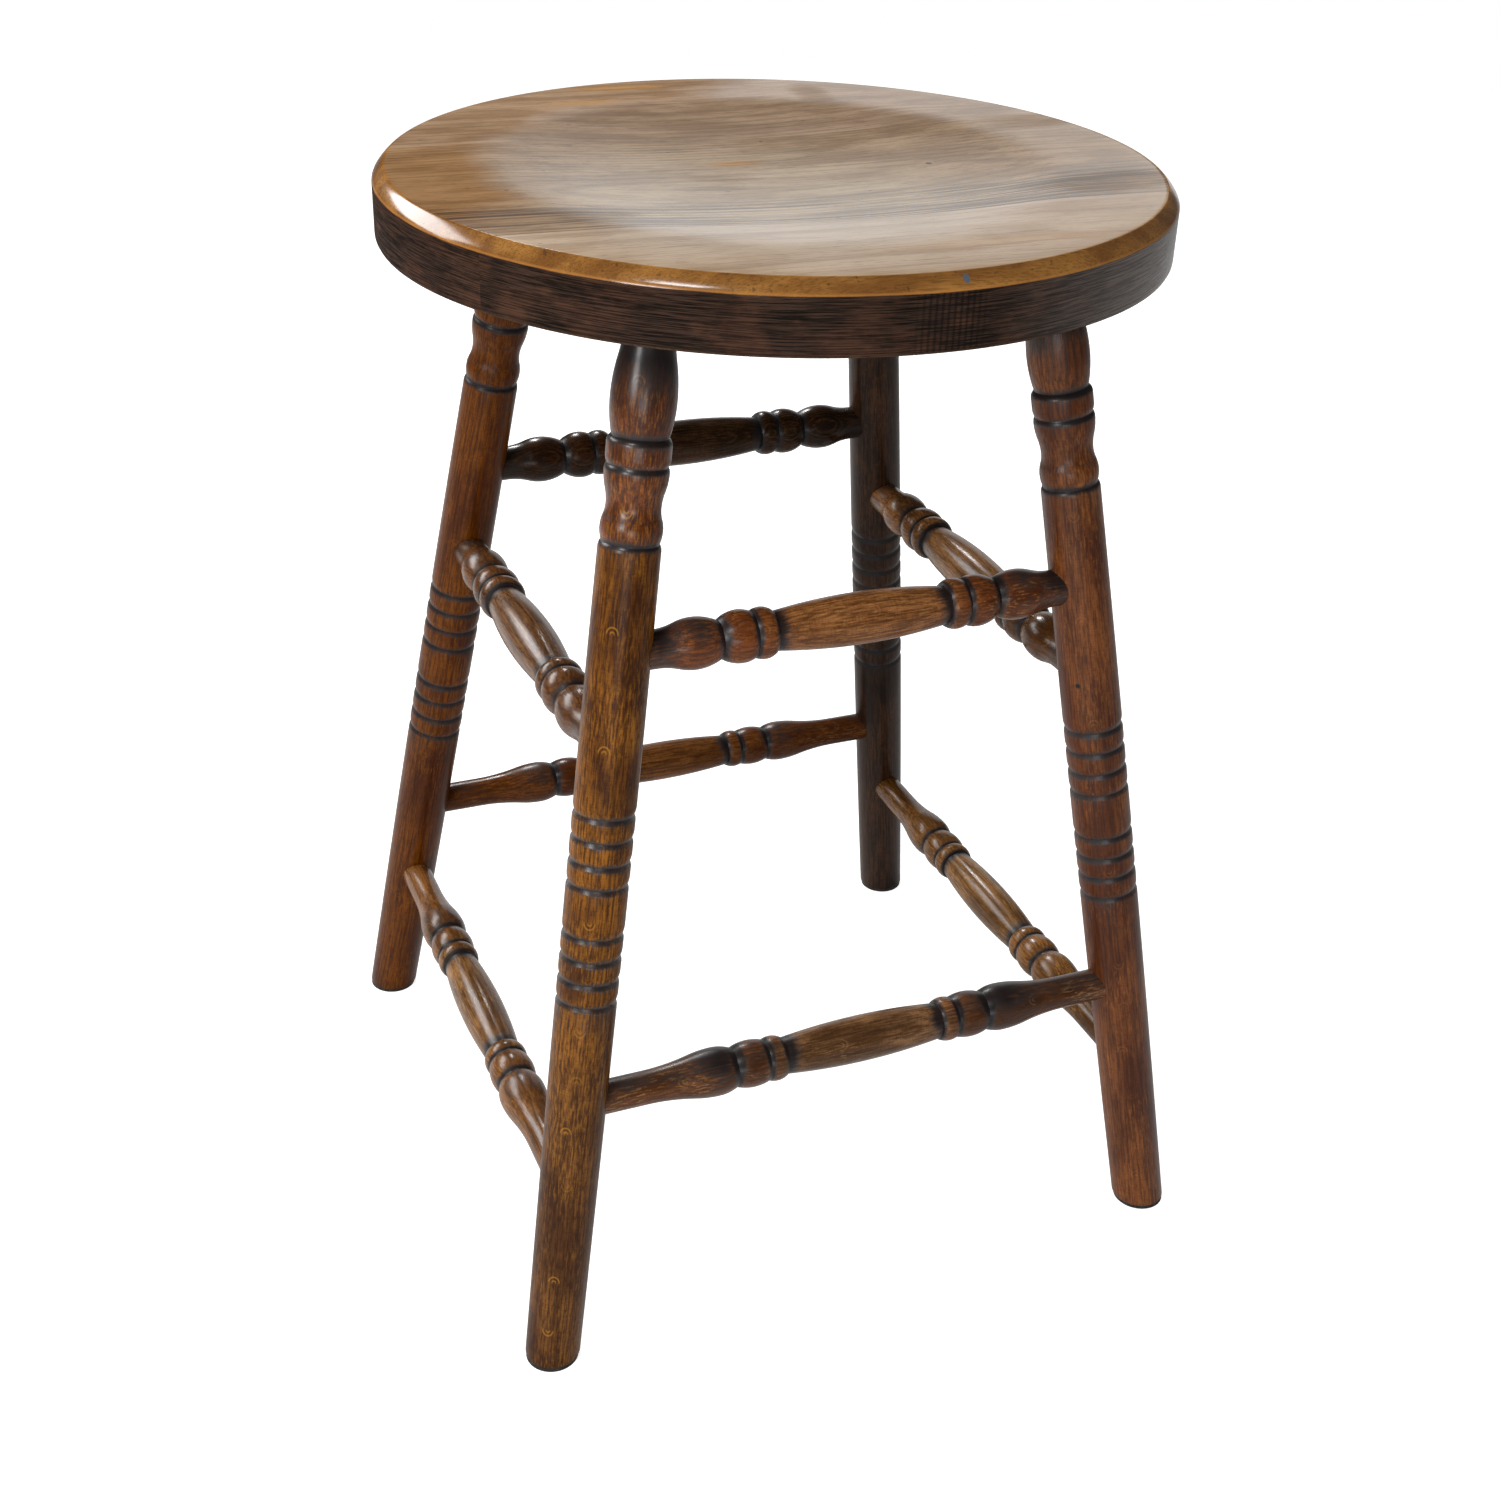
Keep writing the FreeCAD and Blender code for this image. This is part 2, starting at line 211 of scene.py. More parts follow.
# %% [markdown]
# ## The legs
# From the floor up, a leg is a long plain shaft that swells a little, with two groups of four
# scored rings, then a round collar, a cove, a band and a vase that narrows into the seat's tenon.
# Each ring has a steep dark flank below its notch and a soft shoulder above it.

# %% Leg outline
foot_radius = 15.35
swell_radius = 16.6
shaft_top_radius = 15.9
ring_depth = 1.0
ring_flank = 2.9
ring_shoulder = 4.8
ring_pitch = 13.0
ring_groups = (223.5, 290.5)
rings_in_group = 4
swell_station = (ring_groups[0] + (rings_in_group - 1) * ring_pitch + ring_groups[1]) / 2
collar_notch = leg_length / MM - 113.9
collar_groove = 3.4
collar_groove_depth = 1.1
band_radius = 16.25
neck_radius = 12.7
tenon_length = 24
start_below_floor = 22
leg_sides = 64
ring_notches = [
    group + ring_pitch * index for group in ring_groups for index in range(rings_in_group)
]


def shaft_radius(station):
    """Radius of the swelled shaft, in millimetres."""
    if station < swell_station:
        return swell_radius - (swell_radius - foot_radius) * (1 - station / swell_station) ** 2
    share = (station - swell_station) / (collar_notch - swell_station)
    return swell_radius - (swell_radius - shaft_top_radius) * share ** 2


def shaft(low, high, steps):
    """Plain stretch of the shaft."""
    stations = [low + (high - low) * k / steps for k in range(steps + 1)]
    return [(station, shaft_radius(station)) for station in stations]


def scored_ring(notch):
    """One scored ring: a steep flank up to the notch, then a soft shoulder."""
    edge = (notch - ring_flank, shaft_radius(notch))
    brow = (notch - ring_flank + 0.7, shaft_radius(notch) - 0.12)
    floor = (notch - 0.25, shaft_radius(notch) - ring_depth)
    bottom = (notch, shaft_radius(notch) - ring_depth)
    top = (notch + ring_shoulder, shaft_radius(notch + ring_shoulder))
    return [edge, brow, floor] + roll_up(bottom, top, 6)


def leg_shaft(start):
    """Outline from below the floor to the notch under the collar."""
    stretches = []
    low = start
    for notch in ring_notches:
        stretches.append(shaft(low, notch - ring_flank, 8 if low == start else 2))
        stretches.append(scored_ring(notch))
        low = notch + ring_shoulder
    return stretches + [shaft(low, collar_notch - collar_groove, 6)]


def leg_head():
    """Outline from the notch under the collar to the end of the tenon."""
    seat_station = leg_length / MM
    collar = (seat_station - 107.6, 15.8)
    waist = (seat_station - 96.0, 13.85)
    cove_top = (seat_station - 78.6, band_radius)
    band_notch = (seat_station - 75.3, 15.25)
    vase_foot = (seat_station - 61.4, 14.3)
    vase = (seat_station - 43.9, 16.45)
    neck = (seat_station - 8.9, neck_radius)
    groove_radius = shaft_top_radius - collar_groove_depth
    return [
        roll(
            (collar_notch - collar_groove, shaft_top_radius), (collar_notch - 0.3, groove_radius), 4
        ),
        roll_up((collar_notch + 0.3, groove_radius), collar, 6),
        s_curve(collar, waist, 0.5, 6),
        s_curve(waist, cove_top, 0.46, 7),
        roll(cove_top, (band_notch[0] - 0.2, band_notch[1]), 4),
        roll_up(band_notch, (band_notch[0] + 3.6, band_radius), 4),
        roll((vase_foot[0] - 3.8, band_radius), (vase_foot[0] - 0.3, vase_foot[1] + 0.2), 5),
        roll_up(vase_foot, vase, 9),
        s_curve(vase, neck, 0.57, 8),
        [
            (seat_station + tenon_length - 1, neck_radius),
            (seat_station + tenon_length, neck_radius - 1),
        ],
    ]


leg_outline = follow(*leg_shaft(-start_below_floor), *leg_head())
leg_dark_places = [(notch - 0.9, 3.4, 4.2, 1.20) for notch in ring_notches]
leg_dark_places += [
    (collar_notch - 0.3, 4.2, 4.4, 1.25),
    (leg_length / MM - 101.5, 6.5, 8.0, 0.45),
    (leg_length / MM - 76.8, 4.0, 4.6, 1.2),
    (leg_length / MM - 62.4, 4.6, 5.6, 1.3),
    # Painted shade: this place darkens the leg's head under the seat, where the seat's shade falls,
    # on top of its glaze.
    (leg_length / MM - 2, 57, 30, 1.50),
]
leg_model = turn("leg_model", leg_outline, leg_sides)
lay_glaze(leg_model, leg_dark_places)

# %% [markdown]
# The four legs are one turning, copied. Once the stool was glued up, its feet were sawn level with
# the floor, so each copy is laid along its splay first and cut by a level plane after that. The cut
# leaves a thin arris, which a small bevel takes off.

# %% Set up the legs and cut their feet
foot_arris = 1.3


def level_foot(leg):
    """Cut the foot level with the top of its pad and ease the cut edge."""
    pick(leg)
    bpy.ops.object.mode_set(mode="EDIT")
    bpy.ops.mesh.select_all(action="SELECT")
    bpy.ops.mesh.bisect(
        plane_co=(0, 0, pad_thickness), plane_no=(0, 0, 1), use_fill=True, clear_inner=True
    )
    bpy.ops.mesh.bevel(offset=foot_arris * MM, segments=4, profile=0.5)
    bpy.ops.mesh.select_all(action="SELECT")
    bpy.ops.mesh.normals_make_consistent(inside=False)
    bpy.ops.object.mode_set(mode="OBJECT")
    bpy.ops.object.shade_smooth_by_angle(angle=smooth_under)


legs = {}
for side, end in corners:
    corner = end_names[end] + "_" + side_names[side]
    leg = copy_of(leg_model, corner + "_turned_leg")
    set_between(leg, foot_of(side, end), head_of(side, end) - foot_of(side, end))
    level_foot(leg)
    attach(leg, "root")
    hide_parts(corner + "_leg")
    legs[(side, end)] = leg
bpy.data.objects.remove(leg_model)
print("legs", [leg.name for leg in legs.values()])

# %% [markdown]
# ## The stretchers
# Every stretcher has the same order of forms, from its middle outwards: a long barrel, a thin disc,
# a groove, a ball, a neck, a bulb and a round tail that enters the leg. The upper ones are short
# and full, and the lower ones have longer, thinner tails.

# %% Stretcher outlines
upper_form = {
    "barrel": (0, 13.9), "barrel_end": (49.2, 10.3), "disc_foot": (49.5, 11.8),
    "disc": (55.0, 13.7), "groove": (60.6, 12.2), "ball": (67.4, 14.0), "neck": (78.9, 10.1),
    "bulb": (92.6, 13.65), "bulb_turn": 0.43, "tail": (114.0, 10.1),
}
lower_form = {
    "barrel": (0, 13.15), "barrel_end": (48.0, 10.3), "disc_foot": (48.3, 11.3),
    "disc": (53.6, 12.75), "groove": (58.6, 11.7), "ball": (67.6, 13.25), "neck": (77.8, 11.2),
    "bulb": (88.6, 13.65), "bulb_turn": 0.34, "tail": (130.0, 9.4),
}


def half_outline(form, half_length):
    """From the middle of the barrel to the end of the tenon."""
    tail = form["tail"]
    return follow(
        roll(form["barrel"], form["barrel_end"], 14),
        roll_up(form["disc_foot"], form["disc"], 5),
        roll(form["disc"], form["groove"], 5),
        roll_up(form["groove"], form["ball"], 6),
        roll(form["ball"], form["neck"], 9),
        roll_up(form["neck"], form["bulb"], 8),
        s_curve(form["bulb"], tail, form["bulb_turn"], 8),
        [(half_length - 1, tail[1]), (half_length, tail[1] - 1)],
    )


def whole_outline(form, half_length):
    """Both halves, from one tenon end to the other."""
    half = half_outline(form, half_length)
    return [(-station, radius) for station, radius in half[:0:-1]] + half


def stretcher_dark_places(form, half_length):
    """Glaze lies in the grooves and the necks, and where the tail meets the leg."""
    places = []
    for way in (-1, 1):
        for key, inner, outer, depth in (
            ("barrel_end", 11, 3.0, 1.15), ("groove", 3.2, 3.2, 1.3), ("neck", 5.4, 5.4, 1.1)
        ):
            below, above = (inner, outer) if way > 0 else (outer, inner)
            places.append((way * form[key][0], below, above, depth))
        places.append((way * form["bulb"][0], 22, 22, 0.40))
        places.append((way * (half_length - 19), 26, 26, 0.85))
    return places


# %% [markdown]
# A pair of stretchers that face each other is one turning, copied. A box of the frame tells how
# long each turning is, and its middle is where the copy goes.

# %% Turn and place the stretchers
stretcher_sides = 56
stretchers = {}
for level, form in (("upper", upper_form), ("lower", lower_form)):
    for first, second, along in (
        ("front", "back", Vector((1, 0, 0))), ("left", "right", Vector((0, 1, 0)))
    ):
        low, high = [Vector(corner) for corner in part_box(first + "_" + level + "_stretcher")]
        half_length = (high - low).dot(along) / 2 / MM
        outline = whole_outline(form, half_length)
        model = turn(level + "_" + first + "_model", outline, stretcher_sides)
        lay_glaze(model, stretcher_dark_places(form, half_length))
        for place in (first, second):
            node = place + "_" + level + "_stretcher"
            low, high = [Vector(corner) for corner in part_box(node)]
            rail = copy_of(model, place + "_" + level + "_rail")
            set_between(rail, (low + high) / 2, along)
            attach(rail, "root")
            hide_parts(node)
            stretchers[(place, level)] = (rail, (low + high) / 2, along)
        bpy.data.objects.remove(model)
print("stretchers", sorted(stretchers))

# %% [markdown]
# ## The seat
# The seat is three wide boards glued edge to edge, then turned as one disc: a flat underside, a
# straight edge, a bevel that fingers and knees have rounded, and a shallow dish to sit in. So it is
# turned whole here too, and then sawn along its two glue joints into boards, which keeps the dish
# running smoothly from one board to the next.

# %% Turn the seat
rim = seat_radius / MM - 0.05
top = seat_top / MM
under = seat_underside / MM
bevel_width = 6.4
bevel_drop = 7.2
bevel_crown = 0.5
bevel_steps = 8
dish_inset = 51
dish_edge = rim - dish_inset
dish_depth = 7.0
dish_lip_share = 0.12
seat_sides = 224


def dish_height(radius):
    """Height of the dished top at a distance from the middle, in millimetres."""
    lip_radius = dish_edge * (1 - dish_lip_share)
    lip_drop = dish_depth * dish_lip_share
    if radius > lip_radius:
        return top - lip_drop * ((dish_edge - radius) / (dish_edge - lip_radius)) ** 2
    return top - dish_depth + (dish_depth - lip_drop) * (radius / lip_radius) ** 2


side_outline = [
    (under, rim - 1.8), (under + 0.5, rim - 0.75), (under + 1.8, rim - 0.1), (under + 3.5, rim),
    (under + 14, rim), (top - bevel_drop - 0.9, rim), (top - bevel_drop - 0.2, rim - 0.1),
    (top - bevel_drop + 0.4, rim - 0.4),
]
bevel_outline = []
for k in range(1, bevel_steps):
    share = k / bevel_steps
    crown = bevel_crown * 4 * share * (1 - share)
    bevel_outline.append((
        top - bevel_drop * (1 - share) + crown * 0.66, rim - bevel_width * share + crown * 0.75
    ))
land_outline = [
    (top - 0.22, rim - bevel_width + 0.15), (top - 0.04, rim - bevel_width - 0.25),
    (top, rim - bevel_width - 0.9), (top, rim - 16), (top, rim - 30), (top, dish_edge + 3),
]
dish_radii = [dish_edge * (1 - k * 0.015) for k in range(8)]
dish_radii += [dish_edge * (1 - k / 30) for k in range(4, 30)]
dish_outline = [(dish_height(radius), radius) for radius in dish_radii]
seat_outline = side_outline + bevel_outline + land_outline + dish_outline
seat_model = turn("seat_model", seat_outline, seat_sides, smooth_under_on_seat)

# %% [markdown]
# The boards were glued up before the seat was turned. The two joints run nearly level with the
# front, 2.2 degrees off, so two upright planes turned by that angle part the disc again, and each
# board keeps its own share of the dish and the rim.

# %% Saw the seat into its boards
board_turn = Matrix.Rotation(board_skew, 4, "Z")
across_boards = board_turn @ Vector((0, 1, 0))


def keep_between(board, low, high):
    """Saw a board out of the seat between two joint lines, given across the boards."""
    pick(board)
    bpy.ops.object.mode_set(mode="EDIT")
    for place, clear in ((low, "clear_inner"), (high, "clear_outer")):
        if place is not None:
            bpy.ops.mesh.select_all(action="SELECT")
            bpy.ops.mesh.bisect(
                plane_co=across_boards * place, plane_no=across_boards, use_fill=True,
                **{clear: True}
            )
    bpy.ops.mesh.select_all(action="SELECT")
    bpy.ops.mesh.normals_make_consistent(inside=False)
    bpy.ops.object.mode_set(mode="OBJECT")
    bpy.ops.object.shade_smooth_by_angle(angle=smooth_under_on_seat)
    print(board.name, len(board.data.polygons), "faces")


boards = {}
for name, low, high in (
    ("front", None, front_joint), ("middle", front_joint, rear_joint), ("rear", rear_joint, None)
):
    board = copy_of(seat_model, name + "_seat_plank")
    keep_between(board, low, high)
    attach(board, "root")
    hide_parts("seat_" + name + "_board")
    boards[name] = board
bpy.data.objects.remove(seat_model)

# %% [markdown]
# ## Writing a finish as sums
# A shader is arithmetic on pictures of numbers: noise, distances, masks. So that it reads like
# arithmetic here too, a small class wraps a node's output and lets it be added, multiplied and
# raised to a power. Colours go through Mix nodes, because a Math node would turn them grey.

# %% Shader sums
class Wire:
    """One output of a finish's nodes, which can be used in sums."""

    def __init__(self, finish, socket):
        self.finish = finish
        self.socket = socket

    def sum_of(self, operation, first, second):
        return self.finish.node("ShaderNodeMath", {"operation": operation}, {0: first, 1: second})

    def __add__(self, other):
        return self.sum_of("ADD", self, other)

    def __sub__(self, other):
        return self.sum_of("SUBTRACT", self, other)

    def __rsub__(self, other):
        return self.sum_of("SUBTRACT", other, self)

    def __mul__(self, other):
        return self.sum_of("MULTIPLY", self, other)

    def __truediv__(self, other):
        return self.sum_of("DIVIDE", self, other)

    def __pow__(self, other):
        return self.sum_of("POWER", self, other)

    __radd__ = __add__
    __rmul__ = __mul__


class Finish:
    """One material: its nodes are made by one method, and its shader is fed at the end."""

    def __init__(self, name):
        self.material = bpy.data.materials.new(name)
        self.material.use_nodes = True
        self.tree = self.material.node_tree
        self.shader = self.tree.nodes["Principled BSDF"]

    def feed(self, socket, value):
        """Set a socket to a number or colour, or link a wire to it."""
        if isinstance(value, Wire):
            self.tree.links.new(value.socket, socket)
        else:
            socket.default_value = value

    def node(self, kind, settings=None, sockets=None, output=0):
        """Add a node: its settings first, then its sockets by name or number."""
        made = self.tree.nodes.new(kind)
        for setting, value in (settings or {}).items():
            setattr(made, setting, value)
        for key, value in (sockets or {}).items():
            self.feed(made.inputs[key], value)
        return Wire(self, made.outputs[output])

    def mix(self, share, first, second):
        """Blend two colours by a share."""
        return self.node("ShaderNodeMix", {"data_type": "RGBA"}, {0: share, 6: first, 7: second}, 2)

    def rise(self, value, low, high):
        """0 below low, 1 above high, and a smooth step between them."""
        return self.node(
            "ShaderNodeMapRange", {"interpolation_type": "SMOOTHSTEP"}, {0: value, 1: low, 2: high}
        )

    def stretched(self, vector, scale):
        """A vector with each of its parts scaled."""
        return self.node(
            "ShaderNodeVectorMath", {"operation": "MULTIPLY"}, {0: vector, 1: scale}
        )

    def shifted(self, vector, shift):
        """A vector moved, so that two pieces don't show the same noise."""
        return self.node("ShaderNodeVectorMath", {"operation": "ADD"}, {0: vector, 1: shift})

    def noise(self, vector, scale, detail=2.0, roughness=0.5):
        """Soft noise from 0 to 1 on a vector."""
        return self.node(
            "ShaderNodeTexNoise", None,
            {"Vector": vector, "Scale": scale, "Detail": detail, "Roughness": roughness},
        )

    def part_of(self, value):
        """What a value has past its last whole number."""
        return self.node("ShaderNodeMath", {"operation": "FRACT"}, {0: value})

    def dice(self, value):
        """A random number from 0 to 1 that stays the same for the same value."""
        return self.node("ShaderNodeTexWhiteNoise", {"noise_dimensions": "1D"}, {"W": value})

    def parts(self, vector):
        """The X, Y and Z parts of a vector."""
        split = self.node("ShaderNodeSeparateXYZ", None, {0: vector}).socket.node
        return [Wire(self, output) for output in split.outputs]

    def place(self, base=(0, 0, 0), turn=(0, 0, 0)):
        """Place on the object, seen from a base point and turned, in metres."""
        objects = self.node("ShaderNodeTexCoord", output=3)
        return self.node(
            "ShaderNodeMapping", {"vector_type": "TEXTURE"},
            {"Vector": objects, "Location": base, "Rotation": turn},
        )

    def relief(self, height, depth, strength=1.0):
        """Bump the surface by a height from 0 to 1, over a depth in metres."""
        bump = self.node(
            "ShaderNodeBump", None, {"Height": height, "Distance": depth, "Strength": strength}
        )
        self.feed(self.shader.inputs["Normal"], bump)

    def choose(self, share, first, second):
        """End the material in a blend of two shaders."""
        blend = self.node("ShaderNodeMixShader", None, {0: share, 1: first, 2: second})
        self.feed(self.tree.nodes["Material Output"].inputs["Surface"], blend)

    def set(self, **values):
        """Feed the shader's sockets, with _ for a space in their names."""
        for name, value in values.items():
            self.feed(self.shader.inputs[name.replace("_", " ")], value)


def colour(red, green, blue):
    """A colour with full alpha."""
    return (red, green, blue, 1.0)


glaze_black = colour(0.008, 0.007, 0.008)
glaze_grey = colour(0.026, 0.021, 0.020)
thin_glaze = colour(0.011, 0.008, 0.007)

# %% [markdown]
# ## Turned wood
# The legs and stretchers are a plain, close wood, stained brown. Three things make it look like
# wood and not like brown plastic. The growth rings are nested cylinders about a pith that lies
# outside the piece, so where the turning swells they come out as ovals and crescents. Short
# fibre marks run along the axis. And the stain took unevenly, with black glaze left in the grooves.
# All of it is worked out in the turning's own space, so the pattern follows a splayed leg.

# %% Finish of a turning
best_side = Vector((-0.33, -0.88, 0.34))
crescent_room = 31 * MM
crescent_gap = 1.9 * MM


def turned_wood(name, base, direction, dark, light, pith_distance, seed, crescents, gloss, sheen,
                flecks, ring_gap=1.7, haze=0.28, glaze_thin=glaze_grey, top_darkening=0.0, pale_rings=0.0,
                polished=None, pins=(), turns=()):
    """Stained and glazed wood along an axis, with its best figure on the outer front side.

    Crescents is how clearly small nested arcs show there, where the rings only just touch the
    surface. Gloss is the strength of the highlights and haze their spread, and sheen is the gloss
    of the glaze. Top darkening is how much darker the ends are made on their upper side. Pale
    rings is how clearly the growth rings show light, and flecks how clearly the short fibre marks
    do. Polished is where along the axis hands have polished it. Pins are places of small old nail
    holes. Turns are the places where the stain turns to another tone: how far along the axis from
    its zero, over what length, and the new dark and light tones.
    """
    finish = Finish(name)
    mix, rise, noise = finish.mix, finish.rise, finish.noise
    stretched, part_of = finish.stretched, finish.part_of
    turn_to = UP.rotation_difference(direction)
    place = finish.place(base, turn_to.to_euler())
    own = finish.shifted(place, (seed, seed * 0.7, seed * 1.9))
    x, y, along = finish.parts(place)
    facing = (turn_to.inverted() @ best_side).to_2d().normalized()
    # The glaze attribute also carries painted shade at the head of a leg, under the seat.
    glaze_and_shade = finish.node("ShaderNodeAttribute", {"attribute_name": "glaze_and_shade"}, output=2)

    sway = noise(stretched(own, (1, 1, 0.45)), 20, 1.5)
    ripple = noise(stretched(own, (1, 1, 0.30)), 160, 2.0)
    pith = facing * pith_distance * MM
    reach = ((x - pith.x) ** 2 + (y - pith.y) ** 2) ** 0.5
    slow = reach + along * 0.02 + sway * (7 * MM) + ripple * (1.3 * MM)
    ring = part_of(slow / (ring_gap * MM))
    late = rise(ring, 0.45, 0.85) * (1 - rise(ring, 0.92, 1.0))

    cell = along / crescent_room + seed
    chance = finish.dice(cell - part_of(cell))
    outward = x * facing.x + y * facing.y
    aside = x * (0 - facing.y) + y * facing.x + (chance - 0.5) * (9 * MM)
    upside = rise(finish.dice(cell - part_of(cell) + 71), 0.70, 0.71) * 2 - 1
    past = (part_of(cell) - 0.5) * upside * crescent_room
    away = (aside ** 2 + (past * 0.8) ** 2) ** 0.5
    arc = part_of(away / crescent_gap)
    arc_line = rise(arc, 0.25, 0.42) * (1 - rise(arc, 0.62, 0.82))
    arc_line = arc_line * (1 - rise(away, 2.8 * MM, 4.6 * MM)) * rise(past, -1 * MM, 1 * MM)
    arc_line = arc_line * rise(outward, 2 * MM, 6 * MM) * rise(chance, 0.40, 0.75) * crescents

    blotch = noise(stretched(own, (1, 1, 0.45)), 30, 3.0, 0.60)
    fleck_noise = noise(stretched(own, (1, 1, 0.16)), 1000, 2.0, 0.60)
    streak_noise = noise(stretched(own, (1, 1, 0.035)), 860, 2.5, 0.62)
    lathe_noise = noise(stretched(own, (0.2, 0.2, 1)), 1300, 1.0)
    gold_here = rise(noise(stretched(own, (1, 1, 0.6)), 42, 2.0), 0.44, 0.60)

    deep = colour(dark[0] * 0.34, dark[1] * 0.28, dark[2] * 0.28)
    pale = colour(light[0] * 1.9, light[1] * 2.3, light[2] * 2.2)
    stain = mix(rise(blotch, 0.36, 0.62), dark, light)
    from_zero = finish.node("ShaderNodeMath", {"operation": "ABSOLUTE"}, {0: along})
    for station, fade, new_dark, new_light in turns:
        here = rise(from_zero + (blotch - 0.5) * 0.03, station - fade, station + fade)
        stain = mix(here, stain, mix(rise(blotch, 0.36, 0.62), new_dark, new_light))
    stain = mix(late * 0.28, stain, deep)
    if pale_rings:
        stain = mix(late * (0.4 + blotch) * pale_rings, stain, pale)
    stain = mix(rise(streak_noise, 0.46, 0.58) * 0.56, stain, deep)
    stain = mix(rise(fleck_noise, 0.51, 0.60) * 0.58 * flecks, stain, deep)
    stain = mix((1 - rise(fleck_noise, 0.38, 0.45)) * (gold_here * 0.18 + 0.02), stain, pale)
    stain = mix(rise(lathe_noise, 0.50, 0.62) * 0.22, stain, deep)
    stain = mix(arc_line, stain, pale)

    patchy = noise(stretched(own, (1, 1, 0.6)), 90, 3.0, 0.65)
    # The ends are made darker on their upper side, from about 20 mm out from the middle.
    if top_darkening:
        upper = (turn_to.inverted() @ UP).to_2d().normalized()
        lift = (x * upper.x + y * upper.y) / (x ** 2 + y ** 2) ** 0.5
        glaze_and_shade = glaze_and_shade + rise(lift + (blotch - 0.5) * 0.8, -0.1, 0.9) * rise(
            from_zero, 20 * MM, 75 * MM
        ) * top_darkening
    covered = rise(glaze_and_shade + (patchy - 0.5) * 0.9 + (streak_noise - 0.5) * 0.8, 0.22, 0.98)
    glaze_tone = mix(rise(glaze_and_shade, 0.60, 1.00), glaze_thin, glaze_black)
    stain = mix(covered * 0.94, stain, glaze_tone)
    for pin in pins:
        from_pin = finish.node(
            "ShaderNodeVectorMath", {"operation": "DISTANCE"}, {0: finish.place(), 1: pin}, 1
        )
        stain = mix(1 - rise(from_pin, 0.9 * MM, 1.9 * MM), stain, glaze_black)

    coat = covered * sheen
    if polished:
        coat = coat + rise(along, polished, polished + 4 * MM) * (1 - covered) * 0.42
    rough = haze - 0.04 + blotch * 0.10 + fleck_noise * 0.06 + covered * 0.14
    finish.set(
        Base_Color=stain, Roughness=rough, Specular_IOR_Level=gloss, Coat_Weight=coat,
        Coat_Roughness=0.27,
    )
    finish.relief(fleck_noise * 0.5 + streak_noise * 0.6 + patchy * covered, 0.09 * MM, 0.7)
    return finish.material


def dress(piece, material):
    """Give a piece one material."""
    piece.data.materials.clear()
    piece.data.materials.append(material)


# %% [markdown]
# Each leg took the stain its own way: one golden, two red brown, and the back right one almost
# black. The golden one has the clearest crescents, a redder head that hands have polished, and a
# darker foot. A small dark pit shows in the front right one.

# %% Finishes of the legs
golden = (colour(0.070, 0.019, 0.001), colour(0.275, 0.098, 0.009))
red_brown = (colour(0.066, 0.014, 0.000), colour(0.145, 0.040, 0.001))
warm_red = (colour(0.086, 0.021, 0.004), colour(0.210, 0.066, 0.015))
near_black = (colour(0.014, 0.006, 0.003), colour(0.046, 0.019, 0.008))
golden_leg, dark_leg = (-1, -1), (1, 1)
head_start = leg_length - 116 * MM
polish_start = leg_length - 114 * MM
# tones, crescents, gloss and sheen of each leg
leg_looks = {
    golden_leg: (golden, 0.38, 0.17, 0.60), (-1, 1): (red_brown, 0.12, 0.15, 0.15),
    (1, -1): (warm_red, 0.16, 0.28, 0.30), dark_leg: (near_black, 0.08, 0.15, 0.10),
}
leg_pins = {(1, -1): [(0.1277, -0.1493, 0.3519)]}
leg_turns = {golden_leg: (
    (head_start, 6 * MM, colour(0.062, 0.013, 0.001), colour(0.185, 0.048, 0.006)),
    (210 * MM, -60 * MM, colour(0.068, 0.023, 0.004), colour(0.190, 0.074, 0.014)),
)}
for number, corner in enumerate(corners):
    foot = foot_of(*corner)
    (dark, light), crescents, gloss, sheen = leg_looks[corner]
    wood = turned_wood(
        legs[corner].name + "_wood", foot, head_of(*corner) - foot, dark, light,
        pith_distance=60 + 7 * number, seed=1.7 + number, crescents=crescents, gloss=gloss,
        sheen=sheen, flecks=1.0 if corner == golden_leg else 0.6,
        polished=polish_start if corner == golden_leg else None,
        glaze_thin=thin_glaze if corner == dark_leg else glaze_grey,
        pins=leg_pins.get(corner, ()), turns=leg_turns.get(corner, ()),
    )
    dress(legs[corner], wood)
    print(wood.name, len(wood.node_tree.nodes), "nodes")

# %% [markdown]
# The stretchers were stained like the legs. Their barrels have worn brighter than their ends, which
# turn darker and redder about 52 mm from the middle, and some ends are darker on their upper side.
# The upper one at the back is almost black.

# %% Finishes of the stretchers
rail_tones = {
    ("front", "upper"): (colour(0.120, 0.038, 0.009), colour(0.330, 0.135, 0.042)),
    ("back", "upper"): (colour(0.019, 0.009, 0.004), colour(0.060, 0.026, 0.011)),
    ("left", "upper"): (colour(0.075, 0.030, 0.009), colour(0.190, 0.084, 0.028)),
    ("right", "upper"): (colour(0.098, 0.040, 0.010), colour(0.260, 0.118, 0.036)),
    ("front", "lower"): (colour(0.100, 0.045, 0.016), colour(0.330, 0.165, 0.070)),
    ("back", "lower"): (colour(0.080, 0.027, 0.006), colour(0.185, 0.070, 0.017)),
    ("left", "lower"): (colour(0.125, 0.052, 0.013), colour(0.330, 0.155, 0.045)),
    ("right", "lower"): (colour(0.108, 0.047, 0.011), colour(0.290, 0.136, 0.038)),
}
end_shares = {
    "front": (0.56, 0.38, 0.27), "back": (0.62, 0.48, 0.38),
    "left": (0.78, 0.66, 0.55), "right": (0.84, 0.74, 0.62),
}
rail_gloss = {"front": 0.26, "back": 0.12, "left": 0.36, "right": 0.24}
rail_pins = {("front", "upper"): [(0.1104, -0.1420, 0.4099)]}
